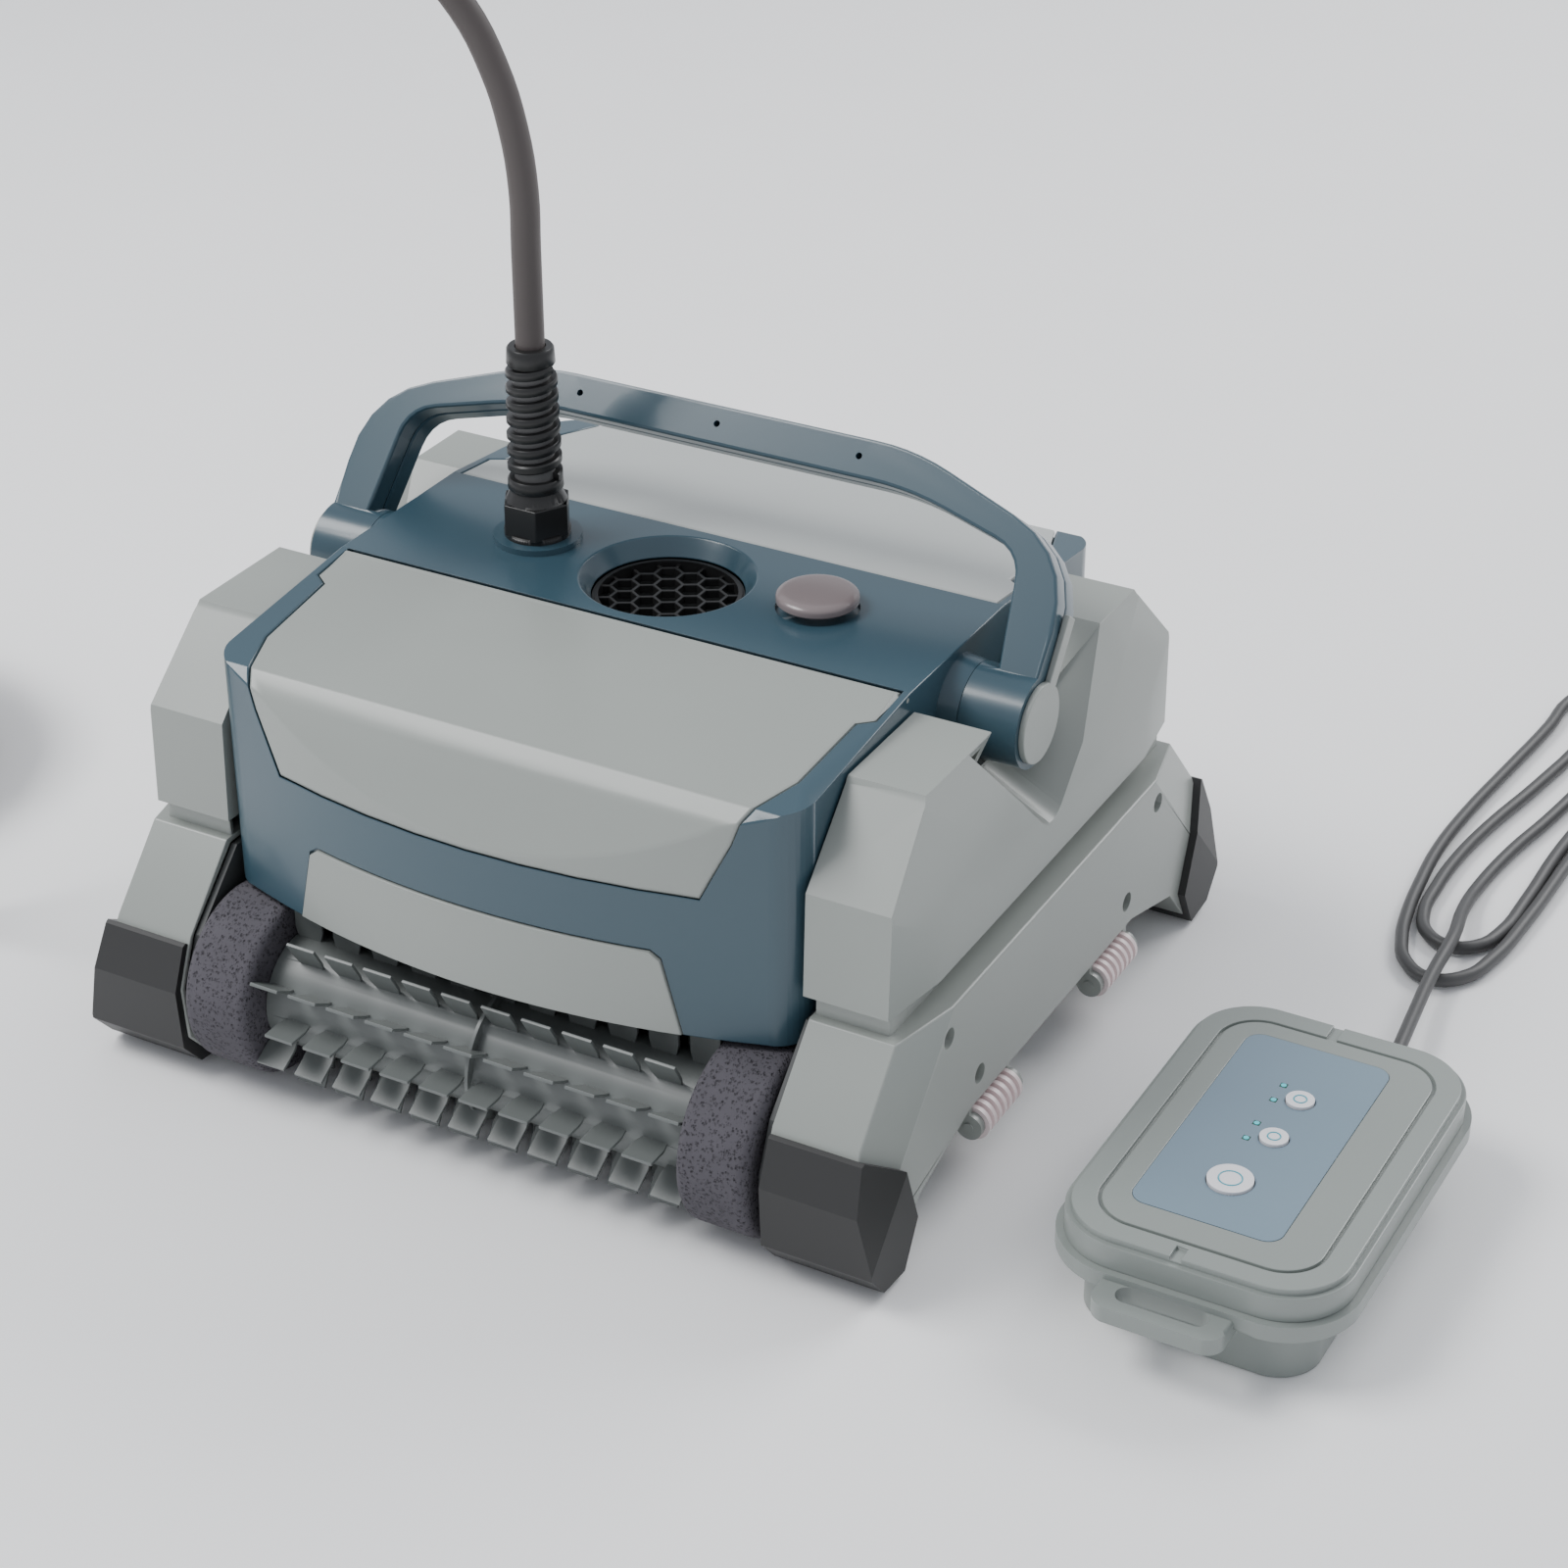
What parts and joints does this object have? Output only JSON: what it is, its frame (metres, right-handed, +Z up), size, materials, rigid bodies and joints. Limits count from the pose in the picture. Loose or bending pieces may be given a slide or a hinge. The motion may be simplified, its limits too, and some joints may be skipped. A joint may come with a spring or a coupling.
{
  "type": "robotic pool cleaner",
  "caption": "Corded robotic pool cleaner with foam and fin brushes, hinged filter lid, swinging carry handle, floating cable and a poolside control box.",
  "frame": {"origin": "on the floor, in the middle of the box round the robot and its control box, without the free cords", "axes": "+X to the robot's right across the brushes, +Y to the robot's rear, +Z up"},
  "size_m": [1.0755, 0.709, 0.557],
  "materials": {
    "blue_shell": "satin moulded ABS, slate blue",
    "grey_cover": "satin moulded ABS, warm grey",
    "light_cover": "satin moulded ABS, light grey",
    "black_plastic": "moulded black nylon",
    "bumper_rubber": "soft black rubber",
    "foam": "open cell PVA foam",
    "brush_pvc": "soft grey PVC",
    "chassis": "dark grey ABS",
    "steel": "stainless steel",
    "button_mauve": "smooth mauve grey",
    "roller": "pale moulded acetal",
    "cable_jacket": "floating foam jacket",
    "lead_jacket": "PVC jacket",
    "box_grey": "satin moulded ABS",
    "label_blue": "printed polycarbonate film",
    "key_white": "white silicone keys",
    "circuit_green": "printed circuit board",
    "basket": "pale ABS frame with nylon mesh"
  },
  "bodies": {
    "robot": {"bottom_plate": "chassis", "top_shell": "blue_shell", "rear_cover": "light_cover", "front_nose_panel": "grey_cover", "rear_nose_panel": "grey_cover", "side_cover_left": "grey_cover", "side_cover_right": "grey_cover", "side_skirt_left": "grey_cover", "side_skirt_right": "grey_cover", "side_frames": "chassis", "front_bumpers": "bumper_rubber", "rear_bumpers": "bumper_rubber", "outlet_grille": "black_plastic", "outlet_duct": "chassis", "pump_motor": "chassis", "drive_motor_front": "chassis", "drive_motor_rear": "chassis", "drive_belts": "bumper_rubber", "filter_basket": "basket", "hub_pins": "steel", "button_spring": "steel", "cable_gland": "black_plastic", "strain_relief": "black_plastic", "float_cable": "cable_jacket", "cable_coil": "cable_jacket", "cable_connector": "black_plastic", "roller_brackets": "grey_cover", "side_screws": "steel", "control_box_base": "box_grey", "control_box_cover": "box_grey", "control_label": "label_blue", "control_board": "circuit_green", "power_supply": "steel", "lead_gland": "black_plastic", "mains_lead": "lead_jacket", "mains_plug": "black_plastic"},
    "filter_lid": {"filter_lid": "grey_cover"},
    "handle": {"handle_front_shell": "blue_shell", "handle_rear_shell": "blue_shell", "hub_caps": "grey_cover"},
    "top_button": {"top_button": "button_mauve"},
    "front_brush": {"brush_core_front": "chassis", "brush_fins_front": "brush_pvc", "foam_rings_front": "foam"},
    "rear_brush": {"brush_core_rear": "chassis", "brush_fins_rear": "brush_pvc", "foam_rings_rear": "foam"},
    "front_motor_pulley": {"motor_pulley_front": "steel"},
    "rear_motor_pulley": {"motor_pulley_rear": "steel"},
    "impeller": {"impeller": "light_cover"},
    "roller_front_left": {"guide_roller_front_left": "roller"},
    "roller_front_right": {"guide_roller_front_right": "roller"},
    "roller_rear_left": {"guide_roller_rear_left": "roller"},
    "roller_rear_right": {"guide_roller_rear_right": "roller"},
    "front_flap": {"intake_flap_front": "bumper_rubber"},
    "rear_flap": {"intake_flap_rear": "bumper_rubber"},
    "power_button": {"power_button": "key_white"},
    "mode_button": {"mode_button": "key_white"},
    "time_button": {"time_button": "key_white"}
  },
  "joints": [
    {"name": "lid_open", "type": "hinge", "parent": "robot", "child": "filter_lid", "pos_m": [-0.0965, -0.0513, 0.2186], "axis": [-1, 0, 0], "range_deg": [0, 75]},
    {"name": "handle_swing", "type": "hinge", "parent": "robot", "child": "handle", "pos_m": [-0.0965, 0, 0.193], "axis": [1, 0, 0], "range_deg": [-20, 13]},
    {"name": "top_button_press", "type": "slide", "parent": "robot", "child": "top_button", "axis": [0, 0, -1], "range_m": [0, 0.003], "stiffness_N_per_m": 400, "springref_m": -0.002, "deforming": ["button_spring"]},
    {"name": "front_brush_spin", "type": "hinge", "parent": "robot", "child": "front_brush", "pos_m": [-0.0965, -0.154, 0.045], "axis": [1, 0, 0], "continuous": true},
    {"name": "rear_brush_spin", "type": "hinge", "parent": "robot", "child": "rear_brush", "pos_m": [-0.0965, 0.154, 0.045], "axis": [1, 0, 0], "continuous": true},
    {"name": "front_motor_spin", "type": "hinge", "parent": "robot", "child": "front_motor_pulley", "pos_m": [-0.0965, -0.048, 0.067], "axis": [1, 0, 0], "continuous": true},
    {"name": "rear_motor_spin", "type": "hinge", "parent": "robot", "child": "rear_motor_pulley", "pos_m": [-0.0965, 0.048, 0.067], "axis": [1, 0, 0], "continuous": true},
    {"name": "impeller_spin", "type": "hinge", "parent": "robot", "child": "impeller", "pos_m": [-0.0965, 0, 0.166], "axis": [0, 0, 1], "continuous": true},
    {"name": "roller_spin_front_left", "type": "hinge", "parent": "robot", "child": "roller_front_left", "pos_m": [-0.3015, -0.066, 0.03], "axis": [0, 1, 0], "continuous": true},
    {"name": "roller_spin_rear_left", "type": "hinge", "parent": "robot", "child": "roller_rear_left", "pos_m": [-0.3015, 0.066, 0.03], "axis": [0, 1, 0], "continuous": true},
    {"name": "roller_spin_front_right", "type": "hinge", "parent": "robot", "child": "roller_front_right", "pos_m": [0.1085, -0.066, 0.03], "axis": [0, 1, 0], "continuous": true},
    {"name": "roller_spin_rear_right", "type": "hinge", "parent": "robot", "child": "roller_rear_right", "pos_m": [0.1085, 0.066, 0.03], "axis": [0, 1, 0], "continuous": true},
    {"name": "front_flap_lift", "type": "hinge", "parent": "robot", "child": "front_flap", "pos_m": [-0.0965, -0.049, 0.0303], "axis": [-1, 0, 0], "range_deg": [0, 50]},
    {"name": "rear_flap_lift", "type": "hinge", "parent": "robot", "child": "rear_flap", "pos_m": [-0.0965, 0.049, 0.0303], "axis": [1, 0, 0], "range_deg": [0, 50]},
    {"name": "power_button_press", "type": "slide", "parent": "robot", "child": "power_button", "axis": [0, 0, -1], "range_m": [0, 0.0012], "stiffness_N_per_m": 500, "springref_m": -0.001},
    {"name": "mode_button_press", "type": "slide", "parent": "robot", "child": "mode_button", "axis": [0, 0, -1], "range_m": [0, 0.0012], "stiffness_N_per_m": 500, "springref_m": -0.001},
    {"name": "time_button_press", "type": "slide", "parent": "robot", "child": "time_button", "axis": [0, 0, -1], "range_m": [0, 0.0012], "stiffness_N_per_m": 500, "springref_m": -0.001}
  ],
  "couplings": [
    {"joint": "front_motor_spin", "follows": "front_brush_spin", "ratio": 1.8},
    {"joint": "rear_motor_spin", "follows": "rear_brush_spin", "ratio": 1.8}
  ]
}
